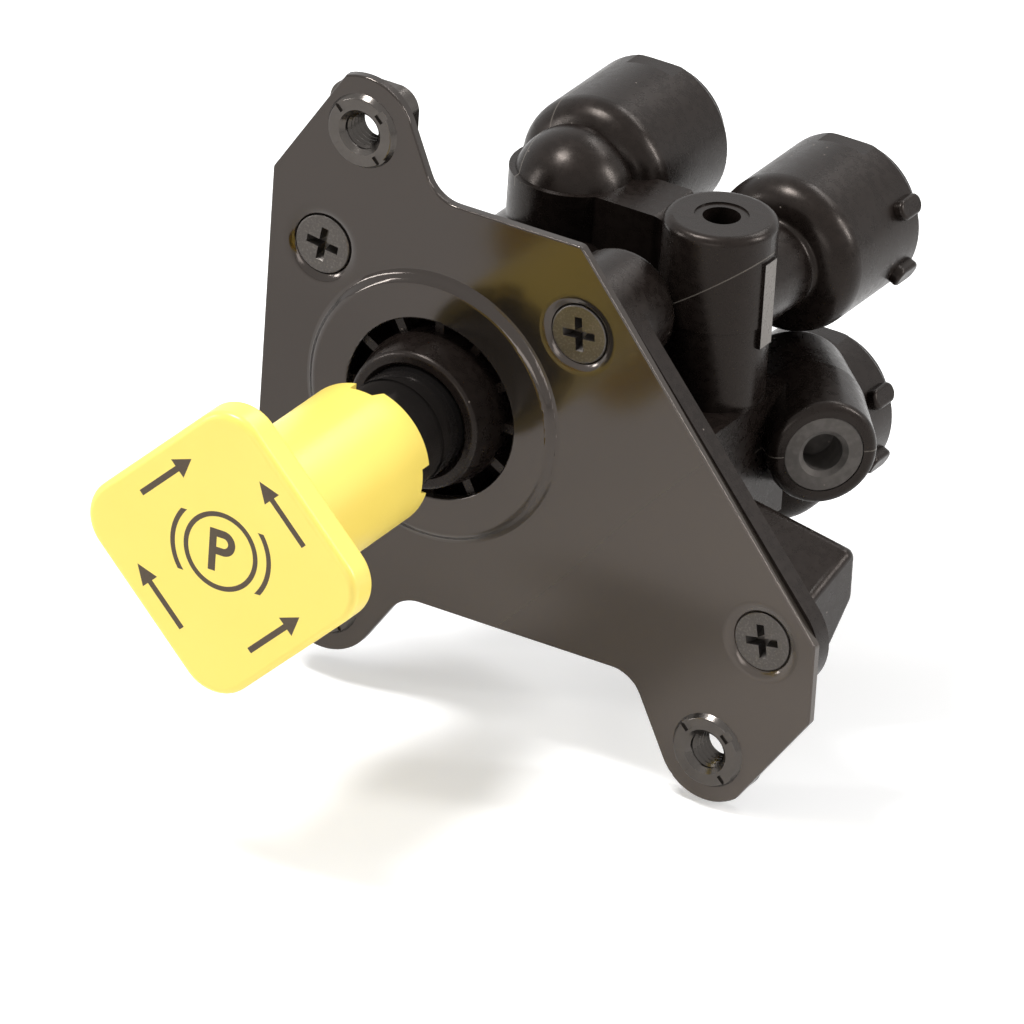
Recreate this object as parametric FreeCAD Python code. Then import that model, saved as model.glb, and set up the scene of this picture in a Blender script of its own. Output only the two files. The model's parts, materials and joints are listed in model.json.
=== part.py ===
import FreeCAD, Part

import math
import os

# Air brake dash control valve, in millimetres.
# X runs right along the plate, Y runs back into the panel and Z up.
# The origin is where the plunger's axis meets the plate's front face.

V = FreeCAD.Vector
AXIS_X = V(1, 0, 0)
AXIS_Y = V(0, 1, 0)
AXIS_Z = V(0, 0, 1)

# Fits and clearances
shaft_fit = 0.05
piston_fit = 0.1
seat_fit = 0.05
press_play = 0.03
running_gap = 0.3
end_gap = 0.1
edge_break = 0.3

# How far a cut runs past a face, and how far a form runs into its neighbour
cut_over = 1.0
join_over = 0.5

# Mounting plate: outline in X and Z
plate_thick = 1.5
plate_left_x = -31.1
plate_right_x = 70.0
plate_top_z = 35.0
plate_bottom_z = -34.5
plate_slope_top_x = 24.3
plate_slope_end_z = -19.8
plate_corner_r = 1.2
ear_fillet_r = 6.0

# Ears of the plate: nut centre, ear radius, the foot on the level edge, the foot on the
# upright edge, and how far the slanted cut lies from the nut's centre
ears = (
    {"nut": (-15.6, 42.8), "r": 9.2, "level_foot_x": -2.0, "upright_foot_z": 32.0, "cut": 7.5},
    {"nut": (52.6, -43.2), "r": 8.8, "level_foot_x": 38.2, "upright_foot_z": -33.1, "cut": 8.4},
    {"nut": (-17.2, -38.8), "r": 9.0, "level_foot_x": -3.5, "upright_foot_z": -27.0, "cut": 8.0},
)

# Raised ring of the plate about the hub
ring_play = 0.4
ring_run = 2.05
ring_height = 1.2
ring_foot_lift = 0.2
ring_foot_run = 0.6
ring_foot_round = 0.8
ring_shoulder_round = 1.2
ring_back_round = 0.8
ring_wall = 1.2
plate_hole_r = 15.0
plate_hole_round = 0.35

# Screws, their dimples in the plate and their places
screw_places = ((-21.7, 21.2), (24.7, 20.0), (60.5, -21.9))
screw_head_r = 4.85
screw_head_rim = 0.4
screw_shank_r = 2.4
screw_length = 12.0
screw_head_round = 0.25
screw_tip_round = 0.5
screw_hole_play = 0.3
screw_pilot_past = 0.8
dimple_rim_r = 6.15
dimple_rim_width = 1.0
dimple_rim_depth = 0.5
dimple_mouth_round = 3.0
dimple_mouth_lip = 0.9
dimple_rim_round = 0.6
dimple_back_r = 7.4
dimple_depth = 3.6
dimple_wall = 1.2
dimple_back_root = 0.375
recess_width = 1.4
recess_span = 6.0
recess_floor_width = 0.9
recess_floor_span = 3.8
recess_depth = 1.8
recess_turns = (-8.0, 6.0, 10.0)

# Clinch nuts
nut_thread_r = 3.0
nut_mouth_r = 3.75
nut_shank_r = 4.95
nut_rim_r = 6.2
nut_rim_height = 0.9
nut_rim_slope = 0.6
nut_rim_round = 0.3
nut_base_half = 7.0
nut_base_corner_r = 3.75
nut_base_thick = 3.5
nut_notch_width = 1.6
nut_notch_depth = 0.4
nut_notch_set_in = 0.5

# Front flange of the body
flange_thick = 3.5
flange_disc_r = 23.0
screw_boss_r = 9.3
screw_boss_back_y = 15.0
screw_boss_round = 2.0

# Front cover: its flange, its drum in the body and the ribbed hub that stands out through the plate
cover_flange_r = 20.4
cover_flange_back_y = 3.0
cover_flange_round = 0.4
cover_drum_r = 17.6
cover_back_y = 9.5
cover_groove_y = 7.1
cover_groove_width = 1.9
cover_groove_depth = 1.6
collar_front_y = -6.4
collar_round = 0.9
collar_r = 11.4
hub_r = 12.6
hub_shoulder_y = -0.8
hub_mouth_chamfer = 0.7
rib_count = 12
rib_thick = 1.5
rib_front_y = 0.5
pocket_r = 16.5
pocket_floor_y = 6.0

# Barrel and its bores
barrel_r = 19.0
guide_r = 9.0
bore_r = 13.0
chamber_r = 11.5
rear_wall = 2.1

# Plunger
plunger_travel = 9.0
stem_r = 6.5
stem_end_y = -48.0
stem_end_round = 0.8
guide_front_y = -23.0
guide_round = 0.6
guide_ring_y = -12.5
guide_ring_width = 1.0
guide_ring_depth = 0.35
piston_len = 5.5
rear_stem_r = 4.5
nose_r = 2.5
nose_len = 6.4
nose_round = 0.4
piston_groove_width = 2.9
piston_groove_r = 10.2

# O-ring about the stem
stem_groove_y = 2.0
stem_groove_width = 2.4
stem_groove_r = 11.0

# Inlet seat, valve disc and return spring
inlet_seat_y = 28.4
inlet_seat_len = 3.6
inlet_hole_r = 6.0
seat_groove_width = 1.9
seat_groove_r = 11.3
disc_r = 8.2
disc_thick = 2.8
disc_face_r = 7.2
disc_face_depth = 1.0
disc_face_round = 0.3
disc_back_round = 0.4
disc_nut_r = 4.6
disc_nut_thick = 2.5
spring_wire_r = 0.6
spring_coil_r = 8.0
spring_turns = 3.5

# Exhaust seat and nozzle at the barrel's end
exhaust_lip_len = 0.8
exhaust_lip_r = 7.5
exhaust_hole_r = 5.5
nozzle_r = 7.8
nozzle_len = 4.2
nozzle_round = 0.5
screen_r = 6.3
screen_thick = 1.0
screen_set_back = 0.8
screen_hole_r = 0.9
screen_hole_ring_r = 3.4
screen_hole_count = 8

# Port cups: axis (x, z) and where each neck starts
cup_places = ((0.3, 22.1), (35.2, 19.1), (33.0, -14.6))
cup_rim_y = 65.0
cup_r = 13.0
cup_len = 23.3
cup_shoulder_round = 5.0
cup_rim_round = 0.6
cup_neck_r = 7.4
cup_neck_round = 1.0
cup_flat = 12.3
cup_flat_len = 4.0
cup_pocket_r = 10.0
cup_pocket_len = 16.0
tube_bore_r = 6.45
tube_bore_len = 4.0
passage_r = 4.0
lug_angle = 24.5
lug_proud = 1.5
lug_root = 1.5
lug_width = 3.3
lug_len = 6.0
lug_round = 0.6
lug_side_flat = 0.05
lug_set_back = 0.6

# Push-to-connect fitting in each cup
tube_r = 6.35
port_seal_wire_r = 1.6
port_seal_gap = 0.15
grab_ring_gap = 0.65
grab_ring_thick = 0.5
grab_ring_r = 9.6
grab_play = 0.2
grab_tooth_count = 8
grab_tooth_slot = 1.2
grab_band = 1.4
retainer_end_gap = 1.0
collet_r = 8.3
collet_bore_r = 6.55
collet_fit = 0.1
collet_nose_play = 0.3
collet_nose_round = 0.4
collet_flange_r = 10.6
collet_rim_play = 0.1
collet_flange_thick = 2.2
collet_flange_round = 0.7
collet_step_round = 0.3
collet_mouth_chamfer = 0.8
collet_travel = 1.2
collet_slot_count = 4
collet_slot_width = 1.2
collet_slot_len = 7.0

# Elbow of the first port
elbow_y = 40.0
elbow_ball_r = 10.0
riser_r = 10.4
riser_low_z = 10.0
riser_top_z = 25.5
saddle_right_x = 19.5
saddle_front_y = 33.0
saddle_back_y = 44.5
saddle_low_z = 8.0
saddle_round = 1.5
riser_bore_r = 3.8
riser_bore_y = 38.0

# Upright stub, which holds the double check valve
stub_x = 35.2
stub_y = 24.1
stub_r = 9.0
stub_top_z = 34.5
stub_top_round = 1.4
stub_bottom_round = 0.6
stub_seam_z = 18.0
stub_seam_step = 0.3
stub_seam_run = 0.2
stub_bottom_z = -24.5
stub_hole_r = 3.0
stub_hole_depth = 9.0
stub_hole_ring_r = 4.3
stub_hole_ring_depth = 0.25
stub_hole_ring_lap = 0.1
stub_pad_proud = 0.3
stub_pad_width = 3.4
stub_pad_low_z = 14.6
stub_pad_high_z = 29.2
gallery_r = 6.0
gallery_top_z = 12.0
shuttle_rest_z = -6.0
shuttle_len = 5.0
shuttle_waist_r = 4.6
shuttle_waist_len = 1.6
check_seat_len = 3.5
supply_y = 26.2
supply_z = 3.0
supply_r = 2.1
supply_boss_r = 7.0
check_plug_len = 5.0
check_plug_head_r = 7.6
check_plug_head_len = 2.5
check_plug_round = 0.5
check_plug_groove_r = 4.6
check_plug_groove_width = 1.9
hex_key_r = 2.3
hex_key_depth = 2.0

# Slanted stub with its pressed plug
slant_face = (53.0, 30.0, -4.0)
slant_angle = -45.0
slant_len = 24.0
slant_back_r = 10.0
slant_back_round = 1.5
slant_face_r = 8.6
slant_face_round = 1.4
slant_plug_r = 6.4
slant_plug_len = 8.0
slant_plug_hole_r = 3.2
slant_plug_hole_depth = 6.5
slant_plug_mouth_r = 4.0
slant_plug_set_in = 0.1
slant_plug_round = 0.2

# Web between the barrel, the stubs and the arm
ledge_left_x = 12.0
ledge_right_x = 44.0
ledge_back_y = 34.0
ledge_top_z = 4.5
ledge_low_z = -18.0

# Arm to the lower right screw, as sections across X: the place along X, the height at the
# plate, at the flange's back and at the rear, then the low heights at the rear and at the plate
arm_sections = (
    (8.0, -5.0, -4.6, -3.5, -17.0, -24.0),
    (28.0, -6.0, -5.6, -4.5, -18.5, -29.0),
    (66.0, -16.0, -15.15, -10.8, -20.3, -30.0),
)
arm_rear_y = 19.0
arm_low_slope = 4.0
arm_round = 2.0
arm_end_round = 1.5

# Knob, a square turned on its corner
knob_side = 38.0
knob_turn = 45.0
knob_corner_r = 7.0
knob_front_y = -62.5
knob_slab_thick = 5.5
knob_front_round = 1.2
knob_back_round = 0.8
knob_wall = 2.0
knob_hollow_depth = 3.0
knob_rib_thick = 1.6
knob_rib_set_back = 1.0
shank_r = 11.9
shank_end_y = -20.7
shank_mouth_r = 9.3
shank_mouth_depth = 3.0
shank_notch_width = 4.0
shank_notch_depth = 2.0
shank_notch_slope = 1.4
shank_notch_past = 2.0
knob_pin_r = 1.6
knob_pin_y = -34.0
knob_pin_angle = 225.0
knob_pin_set_in = 0.6
knob_pin_far = 2.5

# Sizes that follow from the ones above
flange_front_y = plate_thick
flange_back_y = flange_front_y + flange_thick
cover_groove_r = cover_drum_r - cover_groove_depth
ring_shoulder_r = cover_flange_r + ring_play
ring_foot_r = ring_shoulder_r + ring_run
piston_r = bore_r - piston_fit
piston_front_y = cover_back_y
piston_back_y = piston_front_y + piston_len
inlet_seat_back_y = inlet_seat_y + inlet_seat_len
disc_back_y = inlet_seat_back_y + disc_thick
exhaust_seat_y = disc_back_y + plunger_travel + end_gap
chamber_back_y = exhaust_seat_y + exhaust_lip_len
barrel_end_y = chamber_back_y + rear_wall
nozzle_end_y = barrel_end_y + nozzle_len
screw_head_back_y = dimple_rim_depth + dimple_rim_r - dimple_rim_width - seat_fit - screw_head_r
screw_head_y = screw_head_back_y - screw_head_rim
screw_tip_y = screw_head_y + screw_length
cup_shoulder_y = cup_rim_y - cup_len
pocket_front_y = cup_rim_y - cup_pocket_len
tube_stop_y = pocket_front_y - tube_bore_len
grab_ring_y = pocket_front_y + port_seal_gap + 2 * port_seal_wire_r + grab_ring_gap
grab_ring_back_y = grab_ring_y + grab_ring_thick
collet_nose_y = grab_ring_back_y + collet_travel + collet_nose_play
collet_flange_y = cup_rim_y + collet_travel + collet_rim_play
nut_base_back_y = plate_thick + nut_base_thick
shuttle_r = gallery_r - shaft_fit
check_seat_low_z = shuttle_rest_z - check_seat_len


def corner_round(before, corner, after, radius):
    """The start, middle and end of the arc that rounds one corner of an outline."""
    to_before = (before - corner).normalize()
    to_after = (after - corner).normalize()
    half = to_before.getAngle(to_after) / 2
    reach = radius / math.tan(half)
    inward = (to_before + to_after).normalize()
    middle = corner + inward * (radius / math.sin(half) - radius)
    return corner + to_before * reach, middle, corner + to_after * reach


def outline_wire(points, lift):
    """A closed wire through (u, v) or (u, v, corner radius) points, placed by lift(u, v)."""
    corners = [lift(point[0], point[1]) for point in points]
    pieces = []
    for index, point in enumerate(points):
        before = corners[index - 1]
        after = corners[(index + 1) % len(points)]
        if len(point) == 3:
            pieces.append(corner_round(before, corners[index], after, point[2]))
        else:
            pieces.append((corners[index],))
    edges = []
    for index, piece in enumerate(pieces):
        leave = pieces[index - 1][-1]
        if leave.distanceToPoint(piece[0]) > 1e-6:
            edges.append(Part.makeLine(leave, piece[0]))
        if len(piece) == 3:
            edges.append(Part.Arc(*piece).toShape())
    return Part.Wire(edges)


def plate_like(points, front_y, thick):
    """A flat piece with the outline (x, z), from front_y back by thick."""
    wire = outline_wire(points, lambda u, v: V(u, front_y, v))
    return Part.Face(wire).extrude(V(0, thick, 0))


def placed(solid, base, axis):
    """Move a solid made about Z so that it stands at base along axis."""
    solid.Placement = FreeCAD.Placement(V(*base), FreeCAD.Rotation(AXIS_Z, axis))
    return solid


def turned(profile, base=(0, 0, 0), axis=AXIS_Y):
    """A turned solid from (radius, distance along the axis) points."""
    wire = outline_wire(profile, lambda u, v: V(u, 0, v))
    solid = Part.Face(wire).revolve(V(0, 0, 0), AXIS_Z, 360)
    if solid.Volume < 0:
        solid.reverse()
    return placed(solid, base, axis)


def rod(radius, start, end, base=(0, 0, 0), axis=AXIS_Y):
    """A round bar between two distances along an axis through base."""
    foot = V(*base) + V(axis) * start
    return Part.makeCylinder(radius, end - start, foot, axis)


def tube(outer_r, inner_r, start, end, base=(0, 0, 0), axis=AXIS_Y):
    """A ring or sleeve between two distances along an axis through base."""
    points = [(inner_r, start), (outer_r, start), (outer_r, end), (inner_r, end)]
    return turned(points, base, axis)


def o_ring(inner_r, outer_r, middle, base=(0, 0, 0), axis=AXIS_Y):
    """An O-ring that fills the space between two radii."""
    wire_r = (outer_r - inner_r) / 2
    centre = V(*base) + V(axis) * middle
    return Part.makeTorus(inner_r + wire_r, wire_r, centre, axis)


def block(low, high):
    """A box between two corners."""
    size = V(*high) - V(*low)
    return Part.makeBox(size.x, size.y, size.z, V(*low))


def turn_about(solid, base, axis, degrees):
    """A copy of a solid, turned about an axis through base."""
    copy = solid.copy()
    copy.rotate(V(*base), axis, degrees)
    return copy


def at_place(place, y=0.0):
    """The point of an (x, z) place at depth y."""
    return (place[0], y, place[1])


def joined(solids):
    """One clean solid out of solids that overlap."""
    return solids[0].fuse(list(solids[1:])).removeSplitter()


def upright_edges(solid, places, axis_pick):
    """The straight edges of a solid that run along Y through the (x, z) places."""
    found = []
    for edge in solid.Edges:
        if len(edge.Vertexes) != 2:
            continue
        first = edge.Vertexes[0].Point
        last = edge.Vertexes[1].Point
        run = last - first
        if abs(run.x) > 1e-6 or abs(run.z) > 1e-6:
            continue
        if any(math.hypot(first.x - x, first.z - z) < axis_pick for x, z in places):
            found.append(edge)
    return found


def tangent_touch(foot, centre, radius, side):
    """Where the line from foot touches the circle, on its left (1) or right (-1) side."""
    away = V(centre[0] - foot[0], 0, centre[1] - foot[1])
    swing = side * math.asin(radius / away.Length)
    reach = math.sqrt(away.Length ** 2 - radius ** 2)
    heading = math.atan2(away.z, away.x) + swing
    return (foot[0] + reach * math.cos(heading), foot[1] + reach * math.sin(heading))


def ear_feet(ear):
    """The ear's two feet on the plate's edges, and the side on which its cut lies."""
    upper = ear["nut"][1] > 0
    left = ear["nut"][0] < (plate_left_x + plate_right_x) / 2
    level_foot = (ear["level_foot_x"], plate_top_z if upper else plate_bottom_z)
    upright_foot = (plate_left_x if left else plate_right_x, ear["upright_foot_z"])
    side = 1 if upper == left else -1
    return level_foot, upright_foot, side


def plate_outline_solid():
    """The flat plate with its ears, before the ring and the dimples are pressed."""
    base = plate_like(
        [
            (plate_left_x, plate_top_z),
            (plate_slope_top_x, plate_top_z),
            (plate_right_x, plate_slope_end_z),
            (plate_right_x, plate_bottom_z),
            (plate_left_x, plate_bottom_z),
        ],
        0.0,
        plate_thick,
    )
    solids = [base]
    cuts = []
    round_places = []
    for ear in ears:
        level_foot, upright_foot, side = ear_feet(ear)
        nut = ear["nut"]
        solids.append(rod(ear["r"], 0.0, plate_thick, at_place(nut)))
        level_touch = tangent_touch(level_foot, nut, ear["r"], -side)
        upright_touch = tangent_touch(upright_foot, nut, ear["r"], side)
        fan = [level_foot, level_touch, nut, upright_touch, upright_foot]
        solids.append(plate_like(fan, 0.0, plate_thick))
        cuts.append(ear_cut(nut, upright_foot, ear["cut"], side))
        round_places.append(level_foot)
    outline = joined(solids)
    for cut in cuts:
        outline = outline.cut(cut)
    outline = outline.removeSplitter()
    outline = outline.makeFillet(ear_fillet_r, upright_edges(outline, round_places, 0.05))
    corners = [(plate_slope_top_x, plate_top_z), (plate_right_x, plate_slope_end_z)]
    corners += [ear_feet(ear)[1] for ear in ears]
    return outline.makeFillet(plate_corner_r, upright_edges(outline, corners, 0.05))


def ear_cut(nut, foot, distance, side):
    """What lies beyond the slanted edge of an ear."""
    touch = tangent_touch(foot, nut, distance, side)
    along = V(touch[0] - foot[0], 0, touch[1] - foot[1]).normalize()
    out = V(-along.z, 0, along.x) * side
    start = V(foot[0], 0, foot[1]) - along * ring_foot_r
    end = V(touch[0], 0, touch[1]) + along * ring_foot_r
    reach = out * ring_foot_r
    corners = [start, end, end + reach, start + reach]
    return plate_like([(p.x, p.z) for p in corners], 0.0, plate_thick)


def dimple_tip_r():
    """Radius of the dimple's front cone where it meets the screw's hole."""
    return screw_shank_r + screw_hole_play


def dimple_cut(place):
    """The countersink that a screw head sinks into."""
    tip_r = dimple_tip_r()
    tip_y = dimple_rim_depth + dimple_rim_r - dimple_rim_width - tip_r
    return turned(
        [
            (0, -ring_height),
            (dimple_rim_r + dimple_mouth_lip, -ring_height),
            (dimple_rim_r + dimple_mouth_lip, 0),
            (dimple_rim_r, 0, dimple_mouth_round),
            (dimple_rim_r - dimple_rim_width, dimple_rim_depth, dimple_rim_round),
            (tip_r, tip_y),
            (tip_r, dimple_depth + cut_over),
            (0, dimple_depth + cut_over),
        ],
        at_place(place),
    )


def dimple_back(place, gap):
    """The cone that a dimple makes on the plate's back, grown by gap."""
    tip_r = dimple_tip_r() + dimple_wall
    return turned(
        [
            (0, plate_thick - dimple_back_root),
            (dimple_back_r + gap, plate_thick - dimple_back_root),
            (dimple_back_r + gap, plate_thick),
            (tip_r + gap, dimple_depth + gap),
            (0, dimple_depth + gap),
        ],
        at_place(place),
    )


def mounting_plate():
    """Pressed plate with a raised ring about the hub and a dimple for each screw."""
    plate = plate_outline_solid()
    front_rim = [
        edge
        for edge in plate.Edges
        if edge.BoundBox.YMax < 1e-6
    ]
    plate = plate.makeFillet(edge_break, front_rim)
    ring = turned(
        [
            (0, plate_thick),
            (ring_foot_r, plate_thick),
            (ring_foot_r, 0),
            (ring_foot_r - ring_foot_run, -ring_foot_lift, ring_foot_round),
            (ring_shoulder_r + ring_play, -ring_height, ring_shoulder_round),
            (0, -ring_height),
        ]
    )
    solids = [plate, ring] + [dimple_back(place, 0.0) for place in screw_places]
    plate = joined(solids)
    back_recess = turned(
        [
            (0, plate_thick + cut_over),
            (ring_foot_r - ring_wall, plate_thick + cut_over),
            (ring_foot_r - ring_wall, plate_thick),
            (ring_shoulder_r, plate_thick - ring_height, ring_back_round),
            (0, plate_thick - ring_height),
        ]
    )
    hole = rod(plate_hole_r, -2 * ring_height, plate_thick + cut_over)
    cuts = [back_recess, hole] + [dimple_cut(place) for place in screw_places]
    for ear in ears:
        hole_r = nut_shank_r + seat_fit
        cuts.append(rod(hole_r, -cut_over, plate_thick + cut_over, at_place(ear["nut"])))
    plate = plate.cut(cuts)
    return plate.makeFillet(plate_hole_round, inner_rim(plate, plate_hole_r, -ring_height))


def inner_rim(solid, radius, y):
    """The circular edge of a solid about the plunger's axis at radius and y."""
    found = []
    for edge in solid.Edges:
        curve = edge.Curve
        if not isinstance(curve, Part.Circle):
            continue
        on_axis = math.hypot(curve.Center.x, curve.Center.z) < 1e-6
        if on_axis and abs(curve.Radius - radius) < 1e-6 and abs(curve.Center.y - y) < 1e-6:
            found.append(edge)
    return found


def plate_screw(place, turn):
    """Flat-head screw with a cross recess that stands at turn degrees."""
    cone_end_y = screw_head_back_y + screw_head_r - screw_shank_r
    screw = turned(
        [
            (0, screw_head_y),
            (screw_head_r, screw_head_y, screw_head_round),
            (screw_head_r, screw_head_back_y),
            (screw_shank_r, cone_end_y),
            (screw_shank_r, screw_tip_y, screw_tip_round),
            (0, screw_tip_y),
        ],
        at_place(place),
    )
    x, z = place
    wires = []
    for y, span, width in (
        (screw_head_y - edge_break, recess_span, recess_width),
        (screw_head_y + recess_depth, recess_floor_span, recess_floor_width),
    ):
        corners = ((-span, -width), (span, -width), (span, width), (-span, width))
        wires.append(outline_wire(corners, lambda u, v: V(x + u / 2, y, z + v / 2)))
    wing = Part.makeLoft(wires, True, True)
    wings = [turn_about(wing, at_place(place), AXIS_Y, -turn + quarter) for quarter in (0, 90)]
    return screw.cut(wings)


def clinch_nut(place):
    """Nut pressed into an ear, with its rim flared over the plate's front."""
    x, z = place
    front_y = -nut_rim_height
    half = nut_base_half
    corner = nut_base_corner_r
    square = [
        (x - half, z - half, corner),
        (x + half, z - half, corner),
        (x + half, z + half, corner),
        (x - half, z + half, corner),
    ]
    base = plate_like(square, plate_thick, nut_base_thick)
    rim = turned(
        [
            (0, front_y),
            (nut_rim_r - nut_rim_slope, front_y, nut_rim_round),
            (nut_rim_r, 0),
            (nut_shank_r, 0),
            (nut_shank_r, plate_thick),
            (0, plate_thick),
        ],
        at_place(place),
    )
    chamfer = nut_mouth_r - nut_thread_r
    hole = turned(
        [
            (0, front_y - cut_over),
            (nut_mouth_r, front_y - cut_over),
            (nut_mouth_r, front_y),
            (nut_thread_r, front_y + chamfer),
            (nut_thread_r, nut_base_back_y + cut_over),
            (0, nut_base_back_y + cut_over),
        ],
        at_place(place),
    )
    nut = joined([base, rim]).cut(hole)
    notch = block(
        (x + nut_mouth_r + nut_notch_set_in, front_y - cut_over, z - nut_notch_width / 2),
        (x + nut_rim_r + cut_over, front_y + nut_notch_depth, z + nut_notch_width / 2),
    )
    notches = [turn_about(notch, at_place(place), AXIS_Y, degrees) for degrees in (45, 135, 225, 315)]
    return nut.cut(notches)


def capsule(first, second, first_r, second_r, front_y, thick):
    """The flat hull of two circles, given as (x, z) centres."""
    run = V(second[0] - first[0], 0, second[1] - first[1])
    heading = math.atan2(run.z, run.x)
    swing = math.acos((first_r - second_r) / run.Length)
    corners = []
    for sign, order in ((1, (0, 1)), (-1, (1, 0))):
        normal = heading + sign * swing
        for which in order:
            centre, radius = ((first, first_r), (second, second_r))[which]
            corners.append(
                (centre[0] + radius * math.cos(normal), centre[1] + radius * math.sin(normal))
            )
    return plate_like(corners, front_y, thick)


def front_flange():
    """The body's flange: the hull of the three screw bosses, with a disc about the barrel."""
    solids = [rod(flange_disc_r, flange_front_y, flange_back_y)]
    for index, place in enumerate(screw_places):
        solids.append(rod(screw_boss_r, flange_front_y, flange_back_y, at_place(place)))
        following = screw_places[(index + 1) % len(screw_places)]
        solids.append(
            capsule(place, following, screw_boss_r, screw_boss_r, flange_front_y, flange_thick)
        )
    solids.append(plate_like(list(screw_places), flange_front_y, flange_thick))
    return joined(solids)


def screw_boss(place):
    """The boss behind an upper screw, with a rounded back rim."""
    return turned(
        [
            (0, flange_front_y),
            (screw_boss_r, flange_front_y),
            (screw_boss_r, screw_boss_back_y, screw_boss_round),
            (0, screw_boss_back_y),
        ],
        at_place(place),
    )


def screw_hole(place):
    """The recess for the plate's dimple and the pilot hole behind it."""
    cone = dimple_back(place, running_gap)
    pilot_r = screw_shank_r + seat_fit
    pilot = rod(pilot_r, flange_front_y, screw_tip_y + screw_pilot_past, at_place(place))
    return cone.fuse(pilot)


def cover_outside():
    """The cover's collar, hub, flange and drum as one turned form."""
    flange_y = plate_thick - ring_height + seat_fit
    return turned(
        [
            (0, collar_front_y),
            (collar_r, collar_front_y, collar_round),
            (hub_r, hub_shoulder_y),
            (hub_r, flange_y),
            (cover_flange_r, flange_y, cover_flange_round),
            (cover_flange_r, cover_flange_back_y),
            (cover_drum_r, cover_flange_back_y),
            (cover_drum_r, cover_groove_y),
            (cover_groove_r, cover_groove_y),
            (cover_groove_r, cover_groove_y + cover_groove_width),
            (cover_drum_r, cover_groove_y + cover_groove_width),
            (cover_drum_r, cover_back_y),
            (0, cover_back_y),
        ]
    )


def cover_pockets():
    """The pockets about the hub, left between the radial ribs."""
    ring = tube(pocket_r, hub_r, -ring_height, pocket_floor_y)
    rib = block(
        (hub_r - cut_over, rib_front_y, -rib_thick / 2),
        (pocket_r + cut_over, pocket_floor_y + cut_over, rib_thick / 2),
    )
    step = 360.0 / rib_count
    ribs = [turn_about(rib, (0, 0, 0), AXIS_Y, index * step) for index in range(rib_count)]
    return ring.cut(ribs)


def guide_bore():
    """The bore of the plunger's guide, with a chamfered mouth and the O-ring's groove."""
    guide_bore_r = guide_r + shaft_fit
    bore = turned(
        [
            (0, collar_front_y - cut_over),
            (guide_bore_r + hub_mouth_chamfer, collar_front_y - cut_over),
            (guide_bore_r + hub_mouth_chamfer, collar_front_y),
            (guide_bore_r, collar_front_y + hub_mouth_chamfer),
            (guide_bore_r, cover_back_y + cut_over),
            (0, cover_back_y + cut_over),
        ]
    )
    groove = rod(stem_groove_r, stem_groove_y, stem_groove_y + stem_groove_width)
    return bore.fuse(groove)


def front_cover():
    """The ribbed cover that the plate clamps to the body and that guides the plunger."""
    return cover_outside().cut([cover_pockets(), guide_bore()]).removeSplitter()


def front_cover_seal():
    """O-ring in the cover's groove."""
    middle = cover_groove_y + cover_groove_width / 2
    return o_ring(cover_groove_r + seat_fit, cover_drum_r + seat_fit - press_play, middle)


def cup(place, neck_start_y):
    """A port cup with its neck, rounded shoulder and a flat on top of the rim."""
    solid = turned(
        [
            (0, neck_start_y),
            (cup_neck_r, neck_start_y),
            (cup_neck_r, cup_shoulder_y, cup_neck_round),
            (cup_r, cup_shoulder_y, cup_shoulder_round),
            (cup_r, cup_rim_y, cup_rim_round),
            (0, cup_rim_y),
        ],
        at_place(place),
    )
    solid = turn_about(solid, at_place(place), AXIS_Y, 90)
    x, z = place
    flat = block(
        (x - cup_r, cup_rim_y - cup_flat_len, z + cup_flat),
        (x + cup_r, cup_rim_y + cut_over, z + cup_r + cut_over),
    )
    return solid.cut(flat)


def cup_lugs(place):
    """Two rounded lugs near the rim, on the right side of the cup."""
    x, z = place
    front_y = cup_rim_y - lug_set_back - lug_len
    back_y = cup_rim_y - lug_set_back
    half = lug_width / 2
    corner = half - lug_side_flat
    inner_x = x + cup_r - lug_root
    outline = [
        (front_y, z - half, corner),
        (back_y, z - half, corner),
        (back_y, z + half, corner),
        (front_y, z + half, corner),
    ]
    wire = outline_wire(outline, lambda u, v: V(inner_x, u, v))
    lug = Part.Face(wire).extrude(V(lug_root + lug_proud, 0, 0))
    outer_x = inner_x + lug_root + lug_proud
    outer_rim = [edge for edge in lug.Edges if edge.BoundBox.XMin > outer_x - 1e-5]
    lug = lug.makeFillet(lug_round, outer_rim)
    angles = (lug_angle, -lug_angle)
    return [turn_about(lug, at_place(place), AXIS_Y, degrees) for degrees in angles]


def cup_bores(place, passage_start_y):
    """The pocket for the fitting, the bore for the tube's end and the passage behind it."""
    base = at_place(place)
    return [
        rod(cup_pocket_r, pocket_front_y, cup_rim_y + cut_over, base),
        rod(tube_bore_r, tube_stop_y, pocket_front_y + join_over, base),
        rod(passage_r, passage_start_y, tube_stop_y + join_over, base),
    ]


def upright_stub():
    """The upright stub with a seam step, a rounded top and a flat pad on its right side."""
    lower_r = stub_r - stub_seam_step
    post = turned(
        [
            (0, stub_bottom_z),
            (lower_r, stub_bottom_z, stub_bottom_round),
            (lower_r, stub_seam_z),
            (stub_r, stub_seam_z + stub_seam_run),
            (stub_r, stub_top_z, stub_top_round),
            (0, stub_top_z),
        ],
        (stub_x, stub_y, 0),
        AXIS_Z,
    )
    pad = block(
        (stub_x, stub_y - stub_pad_width / 2, stub_pad_low_z),
        (stub_x + stub_r + stub_pad_proud, stub_y + stub_pad_width / 2, stub_pad_high_z),
    )
    return joined([post, pad])


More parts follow.
